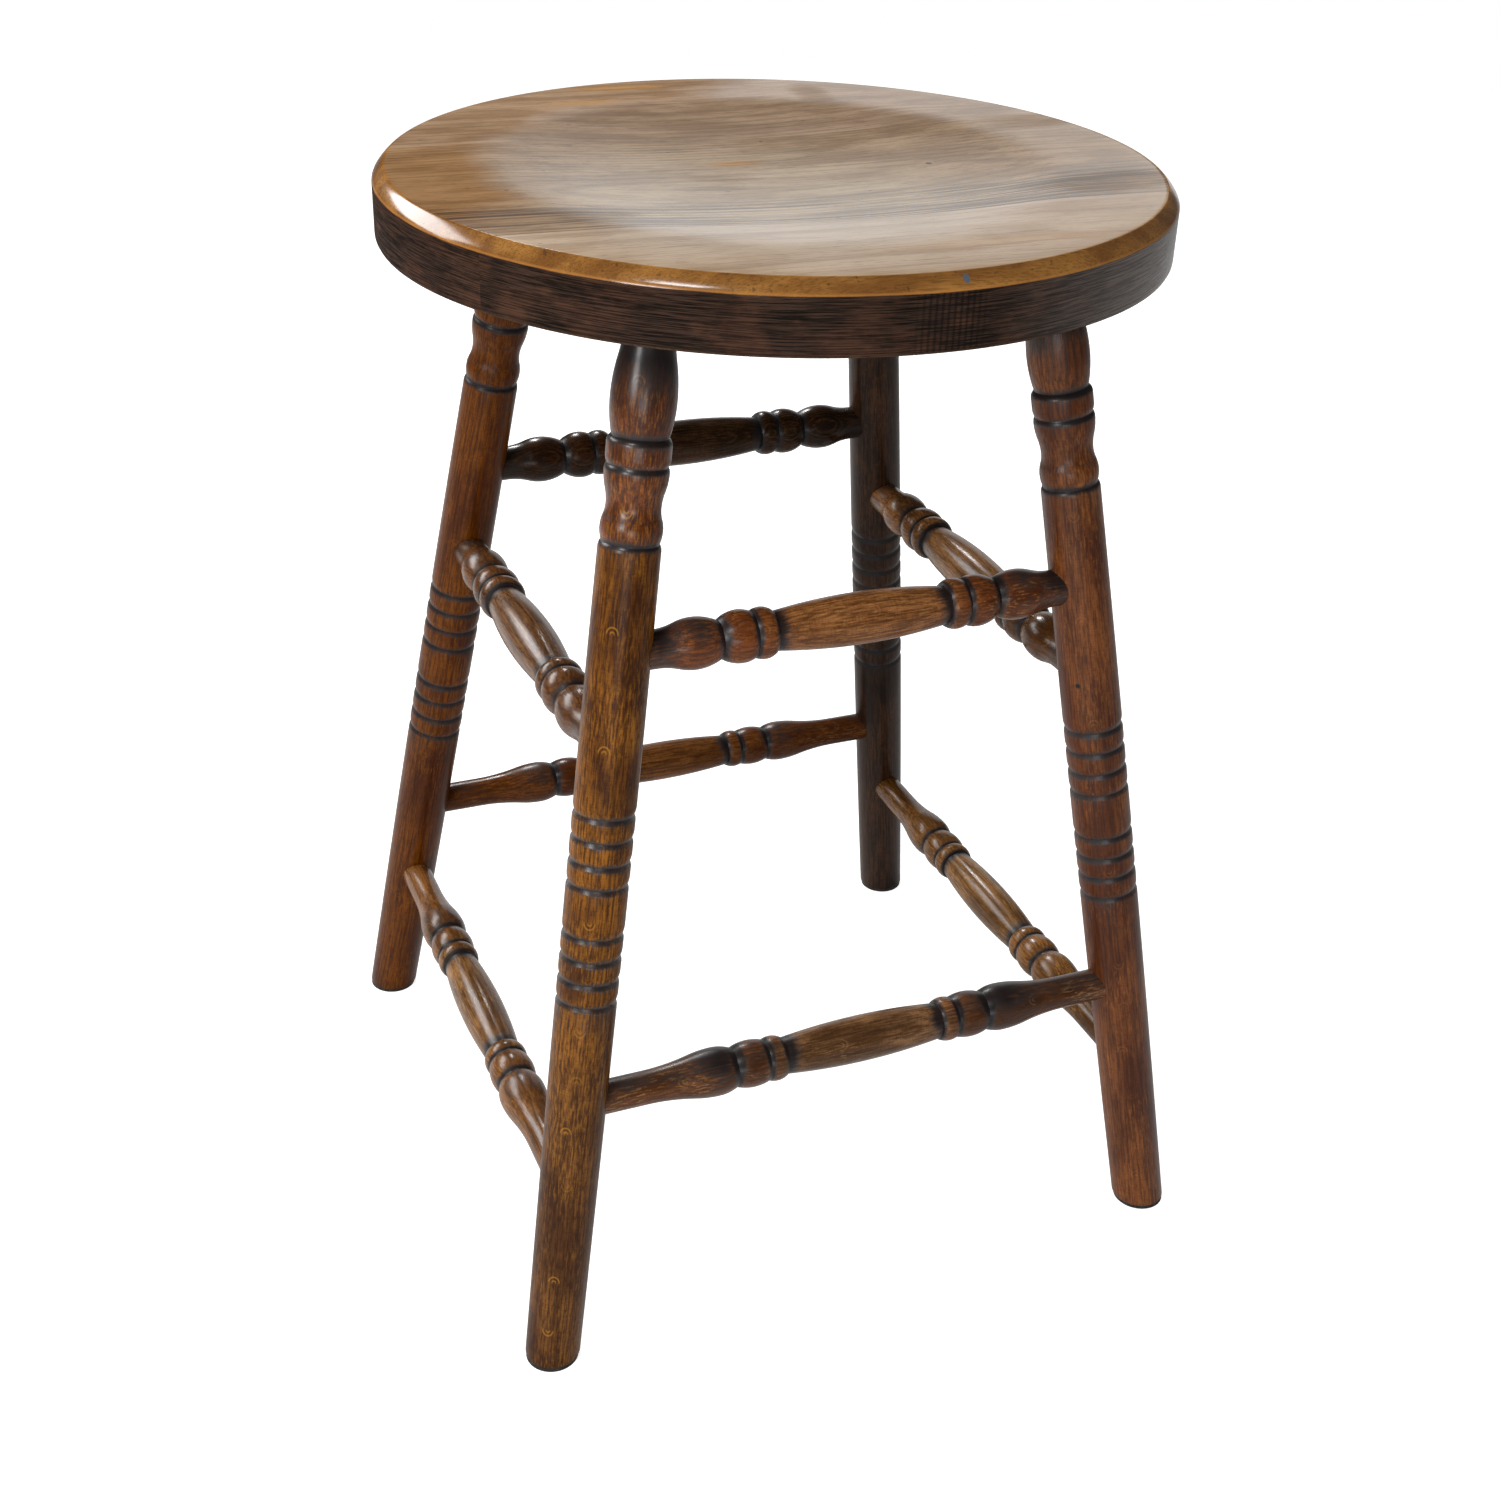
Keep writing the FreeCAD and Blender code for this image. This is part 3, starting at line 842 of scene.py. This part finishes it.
# How much darker the upper side of each stretcher's ends is made.
rail_top_darkening = {
    ("front", "upper"): 0.30, ("front", "lower"): 0.58, ("back", "lower"): 0.30,
    ("left", "lower"): 0.15,
}
ends_start = 52 * MM
for number, (key, (rail, middle, along)) in enumerate(sorted(stretchers.items())):
    dark, light = rail_tones[key]
    end_dark, end_light = [
        colour(*[part * share for part, share in zip(tone, end_shares[key[0]])])
        for tone in (dark, light)
    ]
    blackened = key == ("back", "upper")
    wood = turned_wood(
        rail.name + "_wood", middle, along, dark, light, pith_distance=38 + 4 * number,
        ring_gap=1.5, seed=11.3 + number * 1.37, crescents=0.10, gloss=rail_gloss[key[0]],
        haze=0.20, sheen=0.2, flecks=0.55, glaze_thin=thin_glaze if blackened else glaze_grey,
        top_darkening=rail_top_darkening.get(key, 0), pale_rings=0.30 if blackened else 0.0,
        pins=rail_pins.get(key, ()), turns=((ends_start, 16 * MM, end_dark, end_light),),
    )
    dress(rail, wood)
    print(wood.name, len(wood.node_tree.nodes), "nodes")

# %% [markdown]
# ## The seat's finish
# The top has worn to a dull grey brown where people sat, and kept its amber stain on the bevel and
# the rear rim. The boards are slices of big rings, so the rings cross the top as long lines that
# open into arches where the dish cuts through them. The straight edge of the seat is almost black:
# coarse, fuzzy wood drinks stain. Towards the right the edge is painted grey, a painted reflection.

# %% Finish of a seat board
bevel_amber = (colour(0.170, 0.064, 0.010), colour(0.330, 0.145, 0.026))
edge_brown = (colour(0.007, 0.005, 0.004), colour(0.048, 0.027, 0.019))
# The grey is a painted reflection on the right of the seat's dark edge.
grazing_reflection_grey = (colour(0.115, 0.098, 0.088), colour(0.270, 0.236, 0.215))
bare_brown = (colour(0.05, 0.028, 0.018), colour(0.11, 0.066, 0.040))
nail_iron = colour(0.088, 0.100, 0.125)
nail_heads = [((5.2, -206.6), 1.7)]


def seat_wood(name, seed, pith, ring_gap, tones, coarse, patches, dots=()):
    """A board of the seat.

    Pith is the rings' centre, across the boards and below the top. Coarse gives the strip, across
    the boards, where the wood shows dark lines. Patches are soft dull spots: place along and
    across, half lengths, colour and strength. Dots are small sharp ones: place, radius and colour.
    """
    finish = Finish(name)
    mix, rise, noise = finish.mix, finish.rise, finish.noise
    stretched, part_of = finish.stretched, finish.part_of
    place = finish.place((0, 0, seat_top), (0, 0, board_skew))
    own = finish.shifted(place, (seed, seed * 1.3, 0))
    grain, across, depth = finish.parts(place)
    world_x, world_y, height = finish.parts(finish.place())
    middle_distance = (world_x ** 2 + world_y ** 2) ** 0.5
    cloud = noise(stretched(own, (0.6, 1, 1)), 14, 3.0, 0.55)
    mottle = noise(stretched(own, (0.35, 1, 1)), 48, 4.0, 0.60)

    sway = noise(stretched(own, (0.35, 1, 1)), 8, 2.0)
    ripple = noise(stretched(own, (0.12, 1, 1)), 90, 2.0)
    reach = ((across - pith[0] * MM) ** 2 + (depth - pith[1] * MM) ** 2) ** 0.5
    slow = reach + grain * 0.006 + sway * (9 * MM) + ripple * (1.1 * MM)
    ring = part_of(slow / (ring_gap * MM))
    ring_line = rise(ring, 0.40, 0.78) * (1 - rise(ring, 0.86, 0.98))
    low, high, strength = coarse
    strip = rise(across + (cloud - 0.5) * 0.02, (low - 3) * MM, (low + 1) * MM)
    strip = strip * (1 - rise(across + (mottle - 0.5) * 0.03, (high - 6) * MM, (high + 8) * MM))
    patch = rise(noise(stretched(own, (0.22, 1, 1)), 40, 2.0), 0.36, 0.58)
    bold = (strip * 0.6 + (1 - strip) * 0.30) * (0.25 + patch * 0.75)
    wave = noise(stretched(own, (0.5, 1, 1)), 22, 2.0)
    bent = finish.node(
        "ShaderNodeCombineXYZ", None, {0: grain * 0.012, 1: across + wave * (7 * MM), 2: seed}
    )
    strip_line = rise(noise(bent, 350, 2.5, 0.6), 0.50, 0.56) * strip * strength

    pore = noise(stretched(own, (0.060, 1, 1)), 1500, 2.0, 0.65)
    fibre = noise(stretched(own, (0.018, 1, 1)), 800, 3.0, 0.70)

    unworn = rise(middle_distance + (cloud - 0.5) * 0.06, 132 * MM, 166 * MM)
    to_rear_left = world_y * 0.643 - world_x * 0.766 + (cloud - 0.5) * 0.04
    unworn = unworn * rise(to_rear_left, 66 * MM, 112 * MM)
    front_rim = rise(0 - world_y, 100 * MM, 170 * MM)
    toward_left = rise((cloud - 0.5) * 0.05 - world_x, 98 * MM, 168 * MM) * (1 - front_rim)
    sat_on = rise(world_y, -80 * MM, 0) * rise(world_x, -100 * MM, -20 * MM)
    polish = (1 - unworn * 0.96) * (1 - front_rim * 0.25)
    polish = polish * (1 - toward_left * 0.50) * (1 - sat_on * 0.21)

    brown, tan, worn_brown, worn_tan, amber, dark = tones
    wood = mix(rise(mottle, 0.38, 0.62), brown, tan)
    worn = ((world_x + 20 * MM) ** 2 + (world_y + 62 * MM) ** 2) ** 0.5
    worn = 1 - rise(worn + (cloud - 0.5) * 0.08, 70 * MM, 150 * MM)
    wood = mix(worn, wood, mix(rise(mottle, 0.38, 0.62), worn_brown, worn_tan))
    amber_share = 0.9 - rise(across + (cloud - 0.5) * 0.04, 36 * MM, 76 * MM) * 0.5
    wood = mix(unworn * amber_share, wood, mix(
        rise(mottle, 0.40, 0.60), colour(amber[0] * 0.80, amber[1] * 0.75, amber[2] * 0.70), amber
    ))
    for (along, sideways), (half_along, half_across), spot_colour, spot_strength in patches:
        away = ((grain - along * MM) / (half_along * MM)) ** 2
        away = away + ((across - sideways * MM) / (half_across * MM)) ** 2
        spot = 1 - rise(away + (mottle - 0.5) * 1.6, 0.1, 1.3)
        wood = mix(spot * spot_strength, wood, spot_colour)
        polish = polish * (1 - spot * spot_strength)
    wood = mix(ring_line * bold, wood, dark)
    wood = mix(strip_line * (0.45 + patch * 0.55), wood, dark)
    wood = mix(rise(fibre, 0.53, 0.63) * 0.46, wood, dark)
    wood = mix(rise(pore, 0.60, 0.66) * 0.58, wood, dark)
    scar = noise(stretched(own, (0.45, 1, 1)), 230, 1.0)
    wood = mix(rise(scar, 0.77, 0.81) * 0.75, wood, dark)
    for (along, sideways), size, dot_colour in dots:
        away = ((grain - along * MM) ** 2 + (across - sideways * MM) ** 2) ** 0.5
        wood = mix(1 - rise(away, (size - 0.4) * MM, (size + 0.4) * MM), wood, dot_colour)
    from_joint = finish.node("ShaderNodeMath", {"operation": "ABSOLUTE"}, {0: across - front_joint})
    wood = mix((1 - rise(from_joint, 0.2 * MM, 0.8 * MM)) * 0.7, wood, dark)

    bevel = rise(middle_distance, seat_radius - 7.4 * MM, seat_radius - 6.2 * MM)
    bevel_stain = mix(rise(mottle, 0.36, 0.64), *bevel_amber)
    bevel_stain = mix(rise(pore, 0.48, 0.60) * 0.50, bevel_stain, colour(0.085, 0.030, 0.006))
    speck = rise(noise(own, 280, 2.0, 0.5), 0.66, 0.72)
    bevel_stain = mix(speck * 0.6, bevel_stain, colour(0.04, 0.015, 0.006))
    # Painted highlight: a thin, brighter orange line all round the lower arris of the bevel.
    arris_highlight_line = 1 - rise(height, seat_top - 6.9 * MM, seat_top - 5.9 * MM)
    bevel_stain = mix(arris_highlight_line * 0.55, bevel_stain, colour(0.42, 0.17, 0.035))
    wood = mix(bevel * 0.96, wood, bevel_stain)
    for (nail_x, nail_y), size in nail_heads:
        away = ((world_x - nail_x * MM) ** 2 + (world_y - nail_y * MM) ** 2) ** 0.5
        wood = mix(1 - rise(away, (size - 0.4) * MM, (size + 0.3) * MM), wood, nail_iron)

    saw_line = noise(stretched(own, (0.020, 0.020, 1)), 1900, 3.0, 0.72)
    rub = noise(stretched(own, (1, 1, 2.0)), 32, 4.0, 0.65)
    edge_wood = mix(rise(saw_line, 0.40, 0.62), *edge_brown)
    reddish = rise(rub, 0.44, 0.66) * (rise(saw_line, 0.44, 0.60) * 0.6 + 0.4)
    edge_wood = mix(reddish * 0.60, edge_wood, colour(0.095, 0.042, 0.025))
    # Painted reflection: towards the right the dark edge is painted grey, standing in for the
    # bright surroundings it mirrors there at a slant.
    reflection_to_right = rise(world_x, 10 * MM, 185 * MM)
    edge_wood = mix(reflection_to_right * 0.9, edge_wood, mix(rise(saw_line, 0.38, 0.62), *grazing_reflection_grey))
    tool_mark = part_of(world_x / (3.1 * MM))
    tool_mark = rise(tool_mark, 0.45, 0.6) * (1 - rise(tool_mark, 0.85, 1.0))
    marked = 1 - rise((world_x + 2 * MM) ** 2, (9 * MM) ** 2, (21 * MM) ** 2)
    marked = marked * rise(0 - world_y, 0, 100 * MM)
    edge_wood = mix(tool_mark * marked * 0.55, edge_wood, colour(0.006, 0.005, 0.005))
    edge = 1 - rise(height + (mottle - 0.5) * 0.0008, seat_top - 7.7 * MM, seat_top - 7.1 * MM)
    edge = edge * rise(middle_distance, seat_radius - 3 * MM, seat_radius - 1 * MM)
    wood = mix(edge, wood, edge_wood)
    underside = 1 - rise(height, seat_underside + 0.5 * MM, seat_underside + 2 * MM)
    wood = mix(underside, wood, mix(rise(fibre, 0.3, 0.7), *bare_brown))

    rubbed = rise(world_x, 0, 190 * MM) * 0.8 + 0.06
    arris = rise(middle_distance, seat_radius - 8.4 * MM, seat_radius - 7.4 * MM)
    arris = arris * (1 - rise(middle_distance, seat_radius - 6.3 * MM, seat_radius - 5.4 * MM))
    top_coat = (polish * 0.96 * (1 - bevel) + bevel * 0.95) * (1 - arris * 0.9)
    top_coat = top_coat * (1 - edge) + edge * rubbed
    finish.set(
        Base_Color=wood, Roughness=0.26 + cloud * 0.10 + fibre * 0.08 - bevel * 0.08 + edge * 0.30,
        Specular_IOR_Level=0.0, Coat_Roughness=0.16,
        Coat_Weight=top_coat * (1 - underside),
    )
    worn_arris = noise(own, 170, 2.0) * bevel * 2.5
    marks = fibre * 0.35 + pore * 0.35 + ring_line * bold * 0.4 + edge * saw_line * 2.2
    finish.relief(marks + worn_arris, 0.10 * MM, 0.8)
    return finish.material


# %% [markdown]
# Each board has its own tones, and its rim kept more of the amber stain. Patches are soft spots on
# the top, placed in millimetres along and across the boards, and dots are small dents with dirt.

# %% Dress the boards
deep_brown = colour(0.130, 0.062, 0.024)
orange = colour(0.430, 0.220, 0.075)
amber = colour(0.278, 0.152, 0.067)
front_tones = (
    colour(0.360, 0.245, 0.150), colour(0.440, 0.325, 0.220), colour(0.350, 0.262, 0.180),
    colour(0.420, 0.325, 0.235), colour(0.350, 0.195, 0.075), colour(0.160, 0.095, 0.052),
)
middle_tones = (
    colour(0.235, 0.146, 0.078), colour(0.335, 0.222, 0.126), colour(0.265, 0.182, 0.106),
    colour(0.365, 0.268, 0.164), amber, colour(0.056, 0.030, 0.017),
)
rear_tones = (
    colour(0.230, 0.142, 0.080), colour(0.320, 0.212, 0.130), colour(0.220, 0.140, 0.080),
    colour(0.300, 0.200, 0.120), colour(0.340, 0.222, 0.134), colour(0.080, 0.046, 0.026),
)
middle_patches = [
    ((10, 34), (70, 30), deep_brown, 0.16), ((-14, 26), (17, 7), orange, 0.45),
    ((70, 66), (80, 24), deep_brown, 0.22), ((176, 58), (40, 20), deep_brown, 0.42),
    ((-28, -2), (22, 14), deep_brown, 0.16), ((158, -76), (50, 20), deep_brown, 0.30),
    ((-135, -78), (44, 14), deep_brown, 0.22), ((-188, 30), (14, 20), deep_brown, 0.20),
]
middle_dots = [
    ((86, -4), 1.8, colour(0.03, 0.022, 0.018)), ((-42, -60), 1.0, colour(0.05, 0.03, 0.02))
]
rear_patches = [
    ((-32, 187), (30, 8), orange, 0.50), ((-62, 153), (24, 8), orange, 0.45),
    ((78, 152), (14, 24), deep_brown, 0.40), ((-140, 95), (30, 20), deep_brown, 0.25),
]
front_patches = [((40, -165), (70, 10), orange, 0.18), ((120, -118), (60, 9), deep_brown, 0.20)]
dress(boards["front"], seat_wood(
    "front_board_wood", 3.1, (-150, -60), 8, front_tones, (-230, -225, 0), front_patches
))
dress(boards["middle"], seat_wood(
    "middle_board_wood", 5.7, (-25, -58), 4.0, middle_tones, (-104, -54, 0.85), middle_patches,
    middle_dots
))
dress(boards["rear"], seat_wood(
    "rear_board_wood", 8.9, (150, -60), 5, rear_tones, (230, 235, 0), rear_patches
))
print("boards", {name: board.data.materials[0].name for name, board in boards.items()})

# %% [markdown]
# ## Foot pads and dowels
# Each foot stands on a thin dark pad, glued on and set in a little. The pads and the hidden dowels
# keep their own meshes from the frame, and only get a finish.

# %% Finish the frame's own pieces
def pad_finish():
    """Dull dark rubber with a little dust."""
    finish = Finish("foot_pad_rubber")
    place = finish.place()
    dust = finish.noise(place, 300, 3.0, 0.6)
    tone = finish.mix(
        finish.rise(dust, 0.45, 0.75), colour(0.012, 0.011, 0.010), colour(0.045, 0.040, 0.034)
    )
    finish.set(Base_Color=tone, Roughness=0.62 + dust * 0.2)
    finish.relief(dust, 0.08 * MM)
    return finish.material


def dowel_finish():
    """Bare pale wood with fibres along the dowel."""
    finish = Finish("dowel_wood")
    fibre = finish.noise(finish.stretched(finish.place(), (1, 0.06, 1)), 900, 2.0)
    tone = finish.mix(fibre, colour(0.42, 0.29, 0.17), colour(0.62, 0.47, 0.30))
    finish.set(Base_Color=tone, Roughness=0.6)
    finish.relief(fibre, 0.05 * MM)
    return finish.material


rubber = pad_finish()
for side, end in corners:
    pad = bpy.data.objects[end_names[end] + "_" + side_names[side] + "_foot_pad"]
    pad.material_slots[0].material = rubber
bpy.data.objects["seat_joint_dowels"].material_slots[0].material = dowel_finish()

# %% [markdown]
# ## Floor, light and camera
# The photograph is a plain studio picture on white. The floor is white too, and glows a little to
# the camera, so that it reads as white paper.

# %% Floor
def floor_finish():
    """White floor that shows as white to the camera."""
    finish = Finish("studio_floor")
    finish.set(Base_Color=colour(0.62, 0.62, 0.62), Roughness=0.9)
    seen = finish.node("ShaderNodeLightPath", output=0)
    glow = finish.node("ShaderNodeEmission", None, {"Color": colour(1, 1, 1), "Strength": 0.78})
    plain = Wire(finish, finish.shader.outputs[0])
    both = finish.node("ShaderNodeAddShader", None, {0: plain, 1: glow})
    finish.choose(seen, plain, both)
    return finish.material


put_down()
bpy.ops.mesh.primitive_plane_add(size=14, location=(0, 0, 0))
floor = bpy.context.object
floor.name = "studio_floor"
dress(floor, floor_finish())

# %% [markdown]
# A white card stands well behind the stool, across from the camera. The glossy seat mirrors it,
# which greys the top from this side. The card darkens towards its upper edge.

# %% White card
card_place = (1.64, 2.92, 1.00)
card_heading = math.radians(-28)
card_width, card_height = 2.2, 2.0


def card_finish():
    """White card: it shows as white to the camera and in the gloss of the seat."""
    finish = Finish("white_card")
    finish.set(Base_Color=colour(0.9, 0.9, 0.9), Roughness=0.9)
    paths = finish.node("ShaderNodeLightPath")
    seen = paths + Wire(finish, paths.socket.node.outputs["Is Glossy Ray"])
    seen = seen + Wire(finish, paths.socket.node.outputs["Is Transmission Ray"])
    across, _, height = finish.parts(finish.place())
    shade = 1 - finish.rise(height - across * 0.25, 0.98, 1.58)
    tone = finish.mix(shade, colour(0.04, 0.04, 0.04), colour(1, 1, 1))
    tone = finish.mix(paths, tone, colour(1, 1, 1))
    glow = finish.node("ShaderNodeEmission", None, {"Color": tone, "Strength": 1.0})
    finish.choose(seen, Wire(finish, finish.shader.outputs[0]), glow)
    return finish.material


put_down()
bpy.ops.mesh.primitive_plane_add(
    size=1, location=card_place, rotation=(math.pi / 2, 0, card_heading)
)
card = bpy.context.object
card.name = "white_card"
card.scale = (card_width, card_height, 1)
bpy.ops.object.transform_apply(location=True, rotation=True, scale=True)
dress(card, card_finish())

# %% [markdown]
# The room is plain white to the camera. As light on the stool it is dimmer, and in the gloss of the
# wood it is almost dark, so that only the lamps and the card make highlights.

# %% Room
room_as_light = 0.38
room_in_gloss = 0.07
room = bpy.data.worlds.new("studio_room")
bpy.context.scene.world = room
room.use_nodes = True
room_nodes = room.node_tree.nodes
room_links = room.node_tree.links
paths = room_nodes.new("ShaderNodeLightPath")
backdrop = room_nodes["Background"]
backdrop.inputs["Color"].default_value = (1, 1, 1, 1)
level = room_nodes.new("ShaderNodeMapRange")
level.inputs["To Min"].default_value = room_as_light
level.inputs["To Max"].default_value = room_in_gloss
room_links.new(paths.outputs["Is Glossy Ray"], level.inputs["Value"])
seen_level = room_nodes.new("ShaderNodeMath")
seen_level.operation = "MAXIMUM"
room_links.new(paths.outputs["Is Camera Ray"], seen_level.inputs[0])
room_links.new(level.outputs["Result"], seen_level.inputs[1])
room_links.new(seen_level.outputs[0], backdrop.inputs["Strength"])

# %% [markdown]
# Five soft lamps stand round the stool: a small one high at the front left, a broad one at the back
# left, a small one behind, and two lower ones that fill from the left and from the front.

# %% Lamps
def soft_lamp(name, place, aim, width, height, power):
    """Area lamp that shines from a place towards a point."""
    put_down()
    bpy.ops.object.light_add(type="AREA", location=place)
    lamp = bpy.context.object
    lamp.name = name
    lamp.data.shape = "RECTANGLE"
    lamp.data.size = width
    lamp.data.size_y = height
    lamp.data.energy = power
    lamp.rotation_euler = (Vector(aim) - Vector(place)).to_track_quat("-Z", "Y").to_euler()
    return lamp


soft_lamp("high_front_lamp", (-1.22, -0.97, 2.06), (-0.12, -0.17, 0.60), 0.46, 0.42, 15)
soft_lamp("back_left_lamp", (-1.24, 1.46, 1.40), (-0.2, -0.04, 0.60), 1.40, 0.70, 30)
soft_lamp("back_lamp", (0.20, 1.90, 1.72), (-0.1, 0, 0.35), 0.22, 0.30, 28)
soft_lamp("front_left_lamp", (-1.9, -1.25, 1.15), (-0.12, -0.12, 0.45), 0.55, 0.60, 20)
soft_lamp("front_lamp", (-0.95, -2.35, 0.58), (-0.1, -0.1, 0.5), 1.1, 0.45, 10)

# %% [markdown]
# The camera stands where the photographer's stood. Its place, turn and lens were solved from the
# outline of the seat, the legs and the stretchers as the photograph shows them.

# %% Camera
camera_place = Vector((-0.4316, -1.0012, 0.8746))
camera_heading = math.radians(23.174)
camera_tilt = math.radians(-29.632)
camera_lean = math.radians(2.077)
lens = 49.352

camera_data = bpy.data.cameras.new("photo_camera")
camera_data.lens = lens
camera_data.sensor_width = 36
camera_data.clip_start = 0.01
camera = bpy.data.objects.new("photo_camera", camera_data)
bpy.context.scene.collection.objects.link(camera)
aim = Matrix.Rotation(-camera_heading, 4, "Z") @ Matrix.Rotation(math.pi / 2 + camera_tilt, 4, "X")
camera.matrix_world = Matrix.Translation(camera_place) @ aim @ Matrix.Rotation(camera_lean, 4, "Z")
bpy.context.scene.camera = camera
bpy.context.scene.view_settings.view_transform = "Standard"
print("camera at", tuple(camera_place), "with a lens of", lens)
